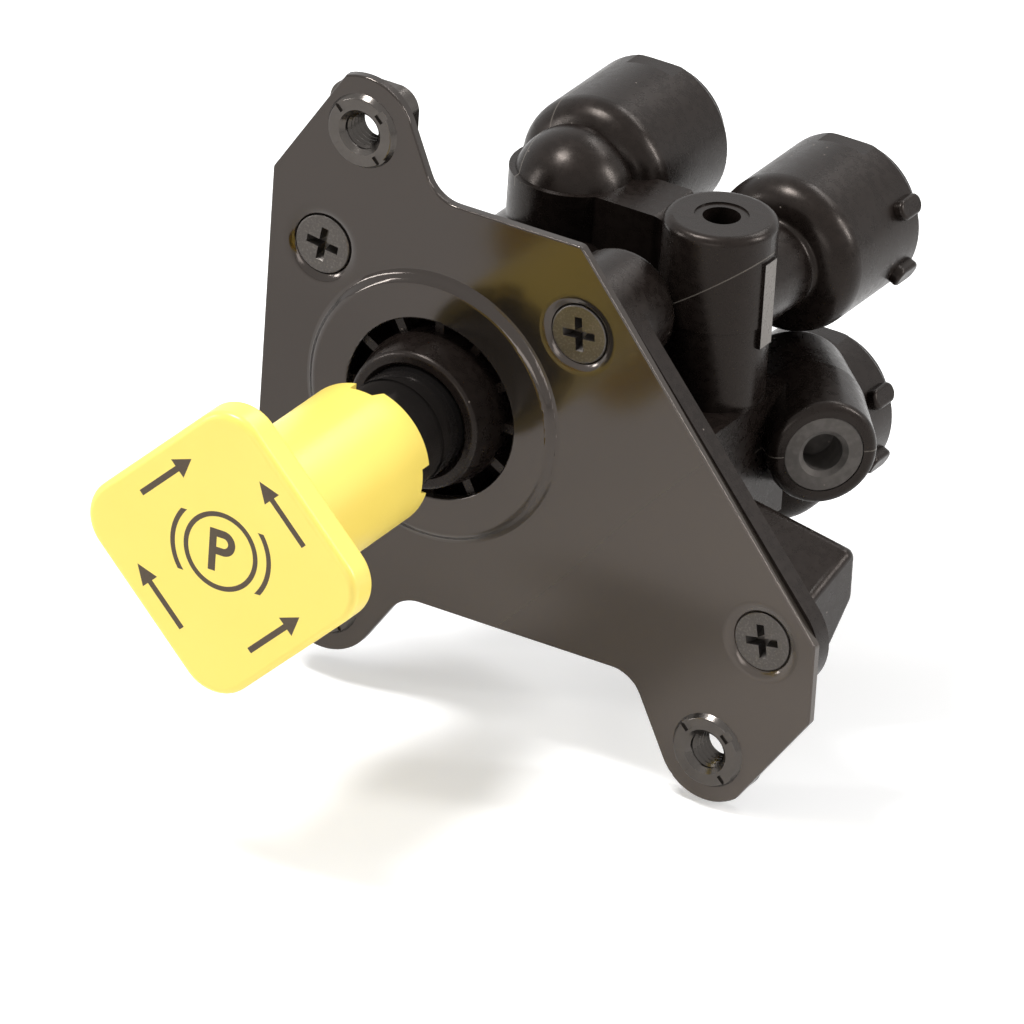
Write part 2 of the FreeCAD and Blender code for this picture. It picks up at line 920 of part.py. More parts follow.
def stub_bores():
    """The blind hole in the stub's top and the bore of the double check valve below."""
    base = (stub_x, stub_y, 0)
    return [
        rod(stub_hole_r, stub_top_z - stub_hole_depth, stub_top_z + cut_over, base, AXIS_Z),
        tube(
            stub_hole_ring_r,
            stub_hole_r - stub_hole_ring_lap,
            stub_top_z - stub_hole_ring_depth,
            stub_top_z + cut_over,
            base,
            AXIS_Z,
        ),
        rod(gallery_r, stub_bottom_z - cut_over, gallery_top_z, base, AXIS_Z),
        rod(passage_r, gallery_top_z - join_over, cup_places[1][1], base, AXIS_Z),
    ]


def slant_axis():
    """The direction in which the slanted stub's face looks."""
    swing = math.radians(slant_angle)
    return V(math.cos(swing), math.sin(swing), 0)


def slanted_stub():
    """The stub that leans forward and to the right."""
    return turned(
        [
            (0, -slant_len),
            (slant_back_r, -slant_len, slant_back_round),
            (slant_back_r, -slant_len / 2),
            (slant_face_r, 0, slant_face_round),
            (0, 0),
        ],
        slant_face,
        slant_axis(),
    )


def slanted_stub_bore():
    """The seat of the pressed plug."""
    return rod(slant_plug_r, -slant_plug_len, cut_over, slant_face, slant_axis())


def side_plug():
    """The plug pressed into the slanted stub, with a blind hole."""
    outer_r = slant_plug_r - press_play
    return turned(
        [
            (0, -slant_plug_len),
            (outer_r, -slant_plug_len),
            (outer_r, -slant_plug_set_in, slant_plug_round),
            (slant_plug_mouth_r, -slant_plug_set_in),
            (slant_plug_hole_r, slant_plug_hole_r - slant_plug_mouth_r),
            (slant_plug_hole_r, -slant_plug_hole_depth),
            (0, -slant_plug_hole_depth),
        ],
        slant_face,
        slant_axis(),
    )


def arm():
    """The arm that carries the lower right screw, tapering to its end."""
    wires = []
    for x, plate_z, flange_z, rear_z, rear_low_z, low_z in arm_sections:
        section = [
            (plate_thick, plate_z),
            (flange_back_y, flange_z),
            (arm_rear_y, rear_z, arm_round),
            (arm_rear_y, rear_low_z, arm_round),
            (arm_rear_y - arm_low_slope, rear_low_z - arm_low_slope),
            (plate_thick, low_z),
        ]
        wires.append(outline_wire(section, lambda u, v: V(x, u, v)))
    solid = Part.makeLoft(wires, True, True)
    end_x = arm_sections[-1][0]
    end_edges = []
    for edge in solid.Edges:
        box = edge.BoundBox
        if box.XMin > end_x - 1e-5 and box.YMin > flange_back_y - 1e-5:
            end_edges.append(edge)
    return solid.makeFillet(arm_end_round, end_edges)


def saddle():
    """The block under the first port's elbow, beside the riser."""
    solid = block(
        (0, saddle_front_y, saddle_low_z),
        (saddle_right_x, saddle_back_y, riser_top_z),
    )
    edges = [edge for edge in solid.Edges if edge.BoundBox.XMin > saddle_right_x - 1e-5]
    return solid.makeFillet(saddle_round, edges)


def web():
    """The block between the barrel, the stubs and the arm."""
    low = (ledge_left_x, flange_front_y, ledge_low_z)
    high = (ledge_right_x, ledge_back_y, ledge_top_z)
    return block(low, high)


def barrel_bores():
    """The seats of the cover and the inlet seat, the exhaust chamber and the screen's seat."""
    drum_bore_r = cover_drum_r + seat_fit
    screen_seat_y = nozzle_end_y - screen_set_back - screen_thick
    return [
        turned(
            [
                (0, flange_front_y - cut_over),
                (cover_flange_r + seat_fit, flange_front_y - cut_over),
                (cover_flange_r + seat_fit, cover_flange_back_y),
                (drum_bore_r, cover_flange_back_y),
                (drum_bore_r, cover_back_y),
                (bore_r, cover_back_y),
                (bore_r, inlet_seat_back_y),
                (chamber_r, inlet_seat_back_y),
                (chamber_r, chamber_back_y),
                (exhaust_lip_r, chamber_back_y),
                (exhaust_lip_r, exhaust_seat_y),
                (exhaust_hole_r, exhaust_seat_y),
                (exhaust_hole_r, screen_seat_y),
                (screen_r, screen_seat_y),
                (screen_r, nozzle_end_y + cut_over),
                (0, nozzle_end_y + cut_over),
            ]
        ),
    ]


def nozzle():
    """The exhaust nozzle at the barrel's end."""
    return turned(
        [
            (0, chamber_back_y),
            (nozzle_r, chamber_back_y),
            (nozzle_r, nozzle_end_y, nozzle_round),
            (0, nozzle_end_y),
        ]
    )


def valve_body():
    """The one-piece moulding that holds everything."""
    first, second, third = cup_places
    elbow_centre = V(0, elbow_y, first[1])
    main = joined([front_flange(), rod(barrel_r, flange_front_y, barrel_end_y), nozzle()])
    main = joined([main] + [screw_boss(place) for place in screw_places[:2]])
    main = joined([main, arm(), web()])
    supply_boss = rod(supply_boss_r, 0, stub_x, (0, supply_y, supply_z), AXIS_X)
    main = joined([main, supply_boss, upright_stub(), slanted_stub()])
    riser = rod(riser_r, riser_low_z, riser_top_z, (0, elbow_y, 0), AXIS_Z)
    ball = Part.makeSphere(elbow_ball_r, elbow_centre)
    main = joined([main, riser, saddle(), ball, cup(first, elbow_y)])
    for place in (second, third):
        main = joined([main, cup(place, stub_y)] + cup_lugs(place))
    cuts = barrel_bores() + stub_bores() + [slanted_stub_bore()]
    cuts += [screw_hole(place) for place in screw_places]
    cuts += cup_bores(first, riser_bore_y - riser_bore_r)
    cuts += cup_bores(second, stub_y) + cup_bores(third, stub_y)
    cuts.append(rod(riser_bore_r, 0, first[1], (0, riser_bore_y, 0), AXIS_Z))
    cuts.append(rod(supply_r, 0, stub_x, (0, supply_y, supply_z), AXIS_X))
    for cut in cuts:
        main = main.cut(cut)
    return main.removeSplitter()


def plunger():
    """The spool: the knob's stem, the guide, the piston and the nose for the valve disc."""
    ring_y = (guide_ring_y, guide_ring_y + guide_ring_width)
    groove_front = piston_front_y + (piston_len - piston_groove_width) / 2
    groove_back = groove_front + piston_groove_width
    spool = turned(
        [
            (0, stem_end_y),
            (stem_r, stem_end_y, stem_end_round),
            (stem_r, guide_front_y),
            (guide_r, guide_front_y, guide_round),
            (guide_r, ring_y[0]),
            (guide_r - guide_ring_depth, ring_y[0]),
            (guide_r - guide_ring_depth, ring_y[1]),
            (guide_r, ring_y[1]),
            (guide_r, piston_front_y),
            (piston_r, piston_front_y),
            (piston_r, groove_front),
            (piston_groove_r, groove_front),
            (piston_groove_r, groove_back),
            (piston_r, groove_back),
            (piston_r, piston_back_y),
            (rear_stem_r, piston_back_y),
            (rear_stem_r, inlet_seat_back_y),
            (nose_r, inlet_seat_back_y),
            (nose_r, inlet_seat_back_y + nose_len, nose_round),
            (0, inlet_seat_back_y + nose_len),
        ]
    )
    return spool.cut(knob_pin_rod(knob_pin_r + press_play))


def knob_pin_rod(radius):
    """The cross pin's space, from the shank's skin past the stem's far side."""
    swing = math.radians(knob_pin_angle)
    axis = V(math.cos(swing), 0, math.sin(swing))
    base = (0, knob_pin_y, 0)
    return rod(radius, -(stem_r + knob_pin_far), shank_r - knob_pin_set_in, base, axis)


def knob_outline(inset):
    """The knob's square outline, turned on its corner, as (x, z, corner radius) points."""
    half = knob_side / 2 - inset
    swing = math.radians(knob_turn)
    points = []
    for u, v in ((-half, -half), (half, -half), (half, half), (-half, half)):
        x = u * math.cos(swing) - v * math.sin(swing)
        z = u * math.sin(swing) + v * math.cos(swing)
        points.append((x, z, knob_corner_r - inset))
    return points


def rim_edges(solid, y):
    """All edges of a solid that lie in the plane at y."""
    found = []
    for edge in solid.Edges:
        box = edge.BoundBox
        if abs(box.YMin - y) < 1e-5 and abs(box.YMax - y) < 1e-5:
            found.append(edge)
    return found


def knob():
    """The square knob with its hollow back and its notched shank, one moulding."""
    slab_back_y = knob_front_y + knob_slab_thick
    slab = plate_like(knob_outline(0.0), knob_front_y, knob_slab_thick)
    slab = slab.makeFillet(knob_front_round, rim_edges(slab, knob_front_y))
    slab = slab.makeFillet(knob_back_round, rim_edges(slab, slab_back_y))
    hollow_y = slab_back_y - knob_hollow_depth
    slab = slab.cut(plate_like(knob_outline(knob_wall), hollow_y, knob_hollow_depth + cut_over))
    reach = knob_side / 2 - knob_wall / 2
    rib = block(
        (shank_r - cut_over, hollow_y - join_over, -knob_rib_thick / 2),
        (reach, slab_back_y - knob_rib_set_back, knob_rib_thick / 2),
    )
    ribs = [turn_about(rib, (0, 0, 0), AXIS_Y, 45 + 90 * index) for index in range(4)]
    shank = rod(shank_r, hollow_y - join_over, shank_end_y)
    solid = joined([slab, shank] + ribs)
    mouth = rod(shank_mouth_r, shank_end_y - shank_mouth_depth, shank_end_y + cut_over)
    socket = rod(stem_r + press_play, stem_end_y - running_gap, shank_end_y)
    half = shank_notch_width / 2
    notch = plate_like(
        [
            (-half, -shank_notch_depth),
            (half, -shank_notch_depth),
            (half + shank_notch_slope, cut_over),
            (-half, cut_over),
        ],
        0.0,
        shank_r - shank_mouth_r + 2 * shank_notch_past,
    )
    notch.rotate(V(0, 0, 0), AXIS_X, -90)
    notch.translate(V(0, shank_end_y, shank_r + shank_notch_past))
    notches = [turn_about(notch, (0, 0, 0), AXIS_Y, 90 * index) for index in range(4)]
    return solid.cut([mouth, socket, knob_pin_rod(knob_pin_r + press_play)] + notches)


def knob_pin():
    """The cross pin that holds the knob on the stem."""
    return knob_pin_rod(knob_pin_r)


def piston_seal():
    """O-ring in the piston's groove."""
    middle = piston_front_y + piston_len / 2
    return o_ring(piston_groove_r + seat_fit, bore_r - shaft_fit, middle)


def stem_seal():
    """O-ring in the body about the plunger's guide."""
    middle = stem_groove_y + stem_groove_width / 2
    return o_ring(guide_r + shaft_fit, stem_groove_r - seat_fit, middle)


def inlet_seat():
    """The seat ring pressed into the bore, with a groove for its O-ring."""
    middle = inlet_seat_y + inlet_seat_len / 2
    outer_r = bore_r - press_play
    half = seat_groove_width / 2
    return turned(
        [
            (inlet_hole_r, inlet_seat_y),
            (outer_r, inlet_seat_y),
            (outer_r, middle - half),
            (seat_groove_r, middle - half),
            (seat_groove_r, middle + half),
            (outer_r, middle + half),
            (outer_r, inlet_seat_back_y),
            (inlet_hole_r, inlet_seat_back_y),
        ]
    )


def inlet_seat_seal():
    """O-ring in the seat ring's groove."""
    middle = inlet_seat_y + inlet_seat_len / 2
    return o_ring(seat_groove_r + seat_fit, bore_r - seat_fit, middle)


def valve_disc():
    """The disc that closes the inlet seat at rest and the exhaust seat when pushed in."""
    bore = nose_r + shaft_fit
    return turned(
        [
            (bore, inlet_seat_back_y),
            (disc_face_r, inlet_seat_back_y),
            (disc_r, inlet_seat_back_y + disc_face_depth, disc_face_round),
            (disc_r, disc_back_y, disc_back_round),
            (bore, disc_back_y),
        ]
    )


def valve_disc_nut():
    """The hexagon nut behind the valve disc."""
    corners = [
        (disc_nut_r * math.cos(math.radians(60 * index)), disc_nut_r * math.sin(math.radians(60 * index)))
        for index in range(6)
    ]
    nut = plate_like(corners, disc_back_y, disc_nut_thick)
    return nut.cut(rod(nose_r + shaft_fit, disc_back_y - cut_over, disc_back_y + disc_nut_thick + cut_over))


def return_spring():
    """The coil spring between the piston and the inlet seat."""
    start = piston_back_y + end_gap + spring_wire_r
    length = inlet_seat_y - end_gap - spring_wire_r - start
    helix = Part.makeHelix(length / spring_turns, length, spring_coil_r)
    section = Part.Wire(Part.makeCircle(spring_wire_r, V(spring_coil_r, 0, 0), AXIS_Y))
    coil = Part.Wire(helix.Edges).makePipeShell([section], True, True)
    if coil.Volume < 0:
        coil.reverse()
    return placed(coil, (0, start, 0), AXIS_Y)


def exhaust_screen():
    """The perforated disc in the nozzle's mouth."""
    back_y = nozzle_end_y - screen_set_back
    disc = rod(screen_r - seat_fit, back_y - screen_thick, back_y)
    holes = [rod(screen_hole_r, back_y - 2 * screen_thick, back_y + cut_over)]
    for index in range(screen_hole_count):
        swing = 2 * math.pi * index / screen_hole_count
        base = (screen_hole_ring_r * math.cos(swing), 0, screen_hole_ring_r * math.sin(swing))
        holes.append(rod(screen_hole_r, back_y - 2 * screen_thick, back_y + cut_over, base))
    return disc.cut(holes)


def check_shuttle():
    """The shuttle of the double check valve, with a waist between its two faces."""
    top_z = shuttle_rest_z + shuttle_len
    middle_z = shuttle_rest_z + shuttle_len / 2
    half = shuttle_waist_len / 2
    return turned(
        [
            (0, shuttle_rest_z),
            (shuttle_r, shuttle_rest_z),
            (shuttle_r, middle_z - half),
            (shuttle_waist_r, middle_z - half),
            (shuttle_waist_r, middle_z + half),
            (shuttle_r, middle_z + half),
            (shuttle_r, top_z),
            (0, top_z),
        ],
        (stub_x, stub_y, 0),
        AXIS_Z,
    )


def check_seat():
    """The lower seat ring of the double check valve."""
    base = (stub_x, stub_y, 0)
    return tube(gallery_r - press_play, passage_r, check_seat_low_z, shuttle_rest_z, base, AXIS_Z)


def check_plug():
    """The plug that closes the gallery's lower end."""
    outer_r = gallery_r - press_play
    top_z = stub_bottom_z + check_plug_len
    groove_low = stub_bottom_z + (check_plug_len - check_plug_groove_width) / 2
    groove_high = groove_low + check_plug_groove_width
    head_z = stub_bottom_z - check_plug_head_len
    plug = turned(
        [
            (0, head_z),
            (check_plug_head_r, head_z, check_plug_round),
            (check_plug_head_r, stub_bottom_z),
            (outer_r, stub_bottom_z),
            (outer_r, groove_low),
            (check_plug_groove_r, groove_low),
            (check_plug_groove_r, groove_high),
            (outer_r, groove_high),
            (outer_r, top_z),
            (0, top_z),
        ],
        (stub_x, stub_y, 0),
        AXIS_Z,
    )
    corners = []
    for index in range(7):
        swing = math.radians(60 * index)
        x = stub_x + hex_key_r * math.cos(swing)
        corners.append(V(x, stub_y + hex_key_r * math.sin(swing), head_z - cut_over))
    key = Part.Face(Part.makePolygon(corners)).extrude(V(0, 0, hex_key_depth + cut_over))
    return plug.cut(key)


def check_plug_seal():
    """O-ring in the plug's groove."""
    base = (stub_x, stub_y, 0)
    middle = stub_bottom_z + check_plug_len / 2
    return o_ring(check_plug_groove_r + seat_fit, gallery_r - seat_fit, middle, base, AXIS_Z)


def port_seal(place):
    """O-ring about the tube at the bottom of the cup."""
    outer_r = cup_pocket_r - seat_fit
    middle = pocket_front_y + port_seal_gap + port_seal_wire_r
    return o_ring(outer_r - 2 * port_seal_wire_r, outer_r, middle, at_place(place))


def port_grab_ring(place):
    """The toothed ring that bites into the tube."""
    back_y = grab_ring_back_y
    ring = tube(grab_ring_r, tube_r + grab_play, grab_ring_y, back_y, at_place(place))
    x, z = place
    slot = block(
        (x, grab_ring_y - cut_over, z - grab_tooth_slot / 2),
        (x + grab_ring_r - grab_band, back_y + cut_over, z + grab_tooth_slot / 2),
    )
    step = 360.0 / grab_tooth_count
    slots = [turn_about(slot, at_place(place), AXIS_Y, step * index) for index in range(grab_tooth_count)]
    return ring.cut(slots)


def port_retainer(place):
    """The sleeve that backs the grab ring and guides the collet."""
    front_y = grab_ring_back_y + end_gap
    back_y = cup_rim_y - retainer_end_gap
    return tube(cup_pocket_r - press_play, collet_r + collet_fit, front_y, back_y, at_place(place))


def port_collet(place):
    """The release collet: a slotted sleeve with a flange that is pushed in."""
    flange_back_y = collet_flange_y + collet_flange_thick
    sleeve = turned(
        [
            (collet_bore_r, collet_nose_y),
            (collet_r, collet_nose_y, collet_nose_round),
            (collet_r, collet_flange_y),
            (collet_flange_r, collet_flange_y, collet_step_round),
            (collet_flange_r, flange_back_y, collet_flange_round),
            (collet_bore_r + collet_mouth_chamfer, flange_back_y),
            (collet_bore_r, flange_back_y - collet_mouth_chamfer),
        ],
        at_place(place),
    )
    x, z = place
    slot = block(
        (x, collet_nose_y - cut_over, z - collet_slot_width / 2),
        (x + collet_r + cut_over, collet_nose_y + collet_slot_len, z + collet_slot_width / 2),
    )
    step = 360.0 / collet_slot_count
    slots = [turn_about(slot, at_place(place), AXIS_Y, step * index) for index in range(collet_slot_count)]
    return sleeve.cut(slots)


def all_pieces():
    """Every piece by name."""
    pieces = {
        "valve_body": valve_body(),
        "mounting_plate": mounting_plate(),
        "plunger": plunger(),
        "knob": knob(),
        "knob_pin": knob_pin(),
        "piston_seal": piston_seal(),
        "stem_seal": stem_seal(),
        "inlet_seat": inlet_seat(),
        "inlet_seat_seal": inlet_seat_seal(),
        "valve_disc": valve_disc(),
        "valve_disc_nut": valve_disc_nut(),
        "return_spring": return_spring(),
        "front_cover": front_cover(),
        "front_cover_seal": front_cover_seal(),
        "exhaust_screen": exhaust_screen(),
        "check_shuttle": check_shuttle(),
        "check_seat": check_seat(),
        "check_plug": check_plug(),
        "check_plug_seal": check_plug_seal(),
        "side_plug": side_plug(),
    }
    for number, place in enumerate(screw_places, 1):
        pieces["plate_screw_%d" % number] = plate_screw(place, recess_turns[number - 1])
    for number, ear in enumerate(ears, 1):
        pieces["clinch_nut_%d" % number] = clinch_nut(ear["nut"])
    for number, place in enumerate(cup_places, 1):
        pieces["port_%d_seal" % number] = port_seal(place)
        pieces["port_%d_grab_ring" % number] = port_grab_ring(place)
        pieces["port_%d_retainer" % number] = port_retainer(place)
        pieces["port_%d_collet" % number] = port_collet(place)
    return pieces


os.makedirs("parts", exist_ok=True)
for name, shape in all_pieces().items():
    if shape.ShapeType == "Compound" and len(shape.Solids) == 1:
        shape = shape.Solids[0]
    shape.exportStep("parts/%s.step" % name)
    print(name, shape.ShapeType, len(shape.Solids), shape.isValid(), round(shape.Volume, 1))
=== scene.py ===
import json
import math

import bmesh
import bpy
from mathutils import Matrix, Vector


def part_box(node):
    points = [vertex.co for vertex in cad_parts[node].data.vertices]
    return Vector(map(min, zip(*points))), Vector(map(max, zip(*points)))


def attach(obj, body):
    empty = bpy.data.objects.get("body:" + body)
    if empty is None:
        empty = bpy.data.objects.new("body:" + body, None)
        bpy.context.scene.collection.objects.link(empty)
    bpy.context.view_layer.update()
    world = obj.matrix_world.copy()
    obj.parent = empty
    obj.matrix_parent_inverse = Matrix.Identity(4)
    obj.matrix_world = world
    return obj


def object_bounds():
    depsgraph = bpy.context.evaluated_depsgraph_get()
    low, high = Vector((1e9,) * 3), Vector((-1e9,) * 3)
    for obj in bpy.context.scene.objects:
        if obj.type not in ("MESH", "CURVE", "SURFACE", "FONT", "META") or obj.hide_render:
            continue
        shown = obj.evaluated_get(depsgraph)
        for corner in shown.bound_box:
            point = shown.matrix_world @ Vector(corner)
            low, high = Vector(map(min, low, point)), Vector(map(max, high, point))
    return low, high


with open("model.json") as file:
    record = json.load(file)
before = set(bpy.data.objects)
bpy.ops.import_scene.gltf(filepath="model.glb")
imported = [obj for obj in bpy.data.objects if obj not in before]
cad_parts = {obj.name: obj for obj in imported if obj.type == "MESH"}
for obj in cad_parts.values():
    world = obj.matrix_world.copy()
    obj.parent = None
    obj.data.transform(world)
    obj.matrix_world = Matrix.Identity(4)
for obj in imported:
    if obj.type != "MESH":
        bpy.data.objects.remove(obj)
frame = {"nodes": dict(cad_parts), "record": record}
cad_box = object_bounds()

# Lengths are in metres. X runs right along the plate, Y back into the panel and Z up.
MM = 0.001
MM_PER_METRE = 1000.0

# The photograph's view: where it looks from, and how much it takes in
VIEW_AZIMUTH = 29.28
VIEW_ELEVATION = 27.30
VIEW_ROLL = 3.82
VIEW_CENTRE = Vector((15.07, 0.29, -13.79)) * MM
VIEW_WIDTH = 158.4 * MM
VIEW_DISTANCE = 3.0
SENSOR_WIDTH = 36.0
VIEW_CLIP_END = 20.0

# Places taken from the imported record
mounts = {mount["name"]: Vector(mount["pos_m"]) for mount in frame["record"]["mounts"]}
nut_places = [mounts["panel_screw_%d" % number] for number in (1, 2, 3)]
nut_bore_r = 3.0 * MM
knob_face_y_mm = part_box("knob")[0].y * MM_PER_METRE


class Wire:
    """A shader socket that Python's operators work on."""

    def __init__(self, nodes, socket):
        self.nodes = nodes
        self.socket = socket

    def __add__(self, other):
        return self.nodes.maths("ADD", self, other)

    __radd__ = __add__

    def __sub__(self, other):
        return self.nodes.maths("SUBTRACT", self, other)

    def __rsub__(self, other):
        return self.nodes.maths("SUBTRACT", other, self)

    def __mul__(self, other):
        return self.nodes.maths("MULTIPLY", self, other)

    __rmul__ = __mul__

    def __truediv__(self, other):
        return self.nodes.maths("DIVIDE", self, other)

    def __rtruediv__(self, other):
        return self.nodes.maths("DIVIDE", other, self)

    def __abs__(self):
        return self.nodes.maths("ABSOLUTE", self)

    def __gt__(self, other):
        return self.nodes.maths("GREATER_THAN", self, other)

    def __lt__(self, other):
        return self.nodes.maths("LESS_THAN", self, other)

    def __and__(self, other):
        return self.nodes.maths("MINIMUM", self, other)

    def __or__(self, other):
        return self.nodes.maths("MAXIMUM", self, other)


class Nodes:
    """The nodes of a material or of the world."""

    def __init__(self, owner):
        owner.use_nodes = True
        self.tree = owner.node_tree
        self.tree.nodes.clear()

    def node(self, kind, settings=(), inputs=(), out=0):
        """A node of one type, its settings made first, then the values or links of its sockets."""
        made = self.tree.nodes.new(kind)
        for key, value in dict(settings).items():
            if key == "stops":
                self.set_stops(made.color_ramp, value)
            else:
                setattr(made, key, value)
        for key, value in dict(inputs).items():
            if isinstance(value, Wire):
                self.tree.links.new(value.socket, made.inputs[key])
            else:
                made.inputs[key].default_value = value
        if made.outputs:
            return Wire(self, made.outputs[out])
        return None

    def set_stops(self, ramp, stops):
        """Gives a colour ramp its stops, as (place, grey) pairs."""
        while len(ramp.elements) < len(stops):
            ramp.elements.new(0.5)
        for element, (place, grey) in zip(ramp.elements, stops):
            element.position = place
            element.color = (grey, grey, grey, 1.0)

    def maths(self, operation, first, second=0.0):
        return self.node("ShaderNodeMath", {"operation": operation}, {0: first, 1: second})

    def ramp(self, value, stops):
        return self.node("ShaderNodeValToRGB", {"stops": stops}, {"Fac": value})

    def mix(self, first, second, factor):
        """A colour between two colours."""
        sockets = {0: factor, 6: first, 7: second}
        return self.node("ShaderNodeMix", {"data_type": "RGBA"}, sockets, out=2)


class Finish(Nodes):
    """One material, with its patterns laid on the object coordinates."""

    def __init__(self, name):
        self.material = bpy.data.materials.new(name)
        super().__init__(self.material)
        self.place = self.node("ShaderNodeTexCoord", out="Object")

    def axes(self):
        """The object coordinates in millimetres."""
        parts = [
            self.node("ShaderNodeSeparateXYZ", (), {"Vector": self.place}, out=axis)
            for axis in ("X", "Y", "Z")
        ]
        return [part * MM_PER_METRE for part in parts]

    def noise(self, scale, detail=2.0, stretch=(1, 1, 1), rough=0.5):
        """Noise on object coordinates; scale counts features in a metre."""
        place = self.node("ShaderNodeMapping", (), {"Vector": self.place, "Scale": stretch})
        sockets = {"Vector": place, "Scale": scale, "Detail": detail, "Roughness": rough}
        return self.node("ShaderNodeTexNoise", (), sockets)

    def specks(self, scale, size):
        """Small round specks: 1 inside, 0 outside."""
        sockets = {"Vector": self.place, "Scale": scale, "Randomness": 1.0}
        return self.node("ShaderNodeTexVoronoi", (), sockets, out="Distance") < size

    def bump(self, height, distance, strength=1.0):
        sockets = {"Height": height, "Distance": distance, "Strength": strength}
        return self.node("ShaderNodeBump", (), sockets)

    def surface(self, **sockets):
        """The shader and the output: sockets are named with underscores for spaces."""
        named = {key.replace("_", " "): value for key, value in sockets.items()}
        shader = self.node("ShaderNodeBsdfPrincipled", (), named)
        self.node("ShaderNodeOutputMaterial", (), {"Surface": shader})
        return self.material


def colour(red, green, blue):
    return (red, green, blue, 1.0)


def scaled(tone, factor):
    return colour(*(factor * part for part in tone))


# Finishes

# The faint warm tint of what dark coatings and plastics mirror
WARM = colour(1.0, 0.87, 0.79)

# Marks of the body's mould, in millimetres
STUB_LINE_FROM = (31.4, 20.9)
STUB_LINE_SLOPE = 0.72
STUB_LINE_HALF = 0.11
ELBOW_LINE_FROM = (-5.6, 22.0)
ELBOW_LINE_LEAN = 0.08
ELBOW_LINE_HALF = 0.10
SLANT_LINE_FROM = (30.0, -4.0)
SLANT_LINE_SLOPE = 0.02
SLANT_LINE_HALF = 0.09
# Where the stub's flat pad is, which the body's finish paints pale grey as a highlight
STUB_PAD_X = (44.25, 45.5)
STUB_PAD_Y = 24.1
STUB_PAD_HALF = 1.65
STUB_PAD_Z = (14.7, 29.1)

# The knob's print, in millimetres from the knob's middle
SIGN_UP = 0.6
SIGN_LINE_HALF = 0.42
SIGN_RING_R = 6.2
SIGN_ARC_R = 8.6
SIGN_ARC_REACH = 5.2
LETTER_STEM = (-2.1, -0.8)
LETTER_HALF_HEIGHT = 3.6
LETTER_BOWL_X = 0.4
LETTER_BOWL_UP = 1.45
LETTER_BOWL_R = 1.5
LETTER_BOWL_HALF = 0.65
LETTER_BARS_X = (-1.0, 0.45)
LETTER_BARS_UP = (0.85, 2.15)
ARROW_OUT = 10.3
ARROW_REACH = 6.0
ARROW_SHAFT_END = 2.8
ARROW_SHAFT_HALF = 0.5
ARROW_HEAD_START = 2.6
ARROW_HEAD_SLOPE = 0.5
PRINT_DEPTH = 0.1


def inside(value, low, high):
    """1 where a socket lies between two numbers."""
    return (value > low) & (value < high)


def mould_lines_and_glints(finish):
    """Thin parting lines of the body's mould, which the body's finish bumps and paints pale as
    glints: 1 on a line, 0 elsewhere.
    """
    x, y, z = finish.axes()
    from_x, from_z = STUB_LINE_FROM
    sloping = abs(z - from_z - (x - from_x) * STUB_LINE_SLOPE) < STUB_LINE_HALF
    on_stub = (x > 26.0) & (y < 26.0) & (z > 20.0) & (y > 14.0)
    from_x, from_z = ELBOW_LINE_FROM
    upright = abs(x - from_x + (z - from_z) * ELBOW_LINE_LEAN) < ELBOW_LINE_HALF
    on_elbow = (y > 28.0) & (z > 24.0) & (x < 0.0)
    from_y, from_z = SLANT_LINE_FROM
    level = abs(z - from_z - (y - from_y) * SLANT_LINE_SLOPE) < SLANT_LINE_HALF
    on_slant = (x > 40.0) & (y > 24.0)
    return (sloping & on_stub) | (upright & on_elbow) | (level & on_slant)


def stub_pad_highlight(finish):
    """The flat pad on the upright stub's right side, painted pale grey as a highlight where it
    faces the light: 1 on it, 0 elsewhere.
    """
    x, y, z = finish.axes()
    across = abs(y - STUB_PAD_Y) < STUB_PAD_HALF
    return inside(x, *STUB_PAD_X) & across & inside(z, *STUB_PAD_Z)


def nylon_finish(name, tone, gloss, lines=False):
    """Black glass-filled nylon: satin, with flow marks, fine grain and a few pale specks."""
    finish = Finish(name)
    flow = finish.noise(90.0, 3.0, (1.0, 1.0, 0.35))
    grain = finish.noise(2400.0, 2.0)
    mottle = finish.noise(700.0, 3.0)
    dust = finish.specks(330.0, 0.055) * (finish.noise(60.0) > 0.52)
    patches = finish.ramp(mottle, [(0.42, 0.0), (0.62, 1.0)])
    base = finish.mix(scaled(tone, 0.7), scaled(tone, 1.3), flow)
    base = finish.mix(base, scaled(tone, 1.9), patches * 0.35)
    base = finish.mix(base, colour(0.20, 0.17, 0.15), dust * 0.7)
    rough = gloss + (flow - 0.5) * 0.14 + patches * 0.06 + (grain - 0.5) * 0.1
    height = grain * 0.35 + patches * 0.35 + flow * 0.8
    if lines:
        # The mould lines are real ridges and are bumped; their pale colour is a painted highlight,
        # the glint on the ridges
        line = mould_lines_and_glints(finish)
        base = finish.mix(base, colour(0.13, 0.115, 0.10), line * 0.75)
        height = height + line * 1.5
        # Painted highlight: the stub's flat pad is painted pale grey where it faces the light
        base = finish.mix(base, colour(0.20, 0.185, 0.17), stub_pad_highlight(finish) * 0.8)
    normal = finish.bump(height, 0.00004, 0.3)
    sheen = {"Specular_IOR_Level": 0.23, "Specular_Tint": WARM}
    return finish.surface(Base_Color=base, Roughness=rough, Normal=normal, **sheen)


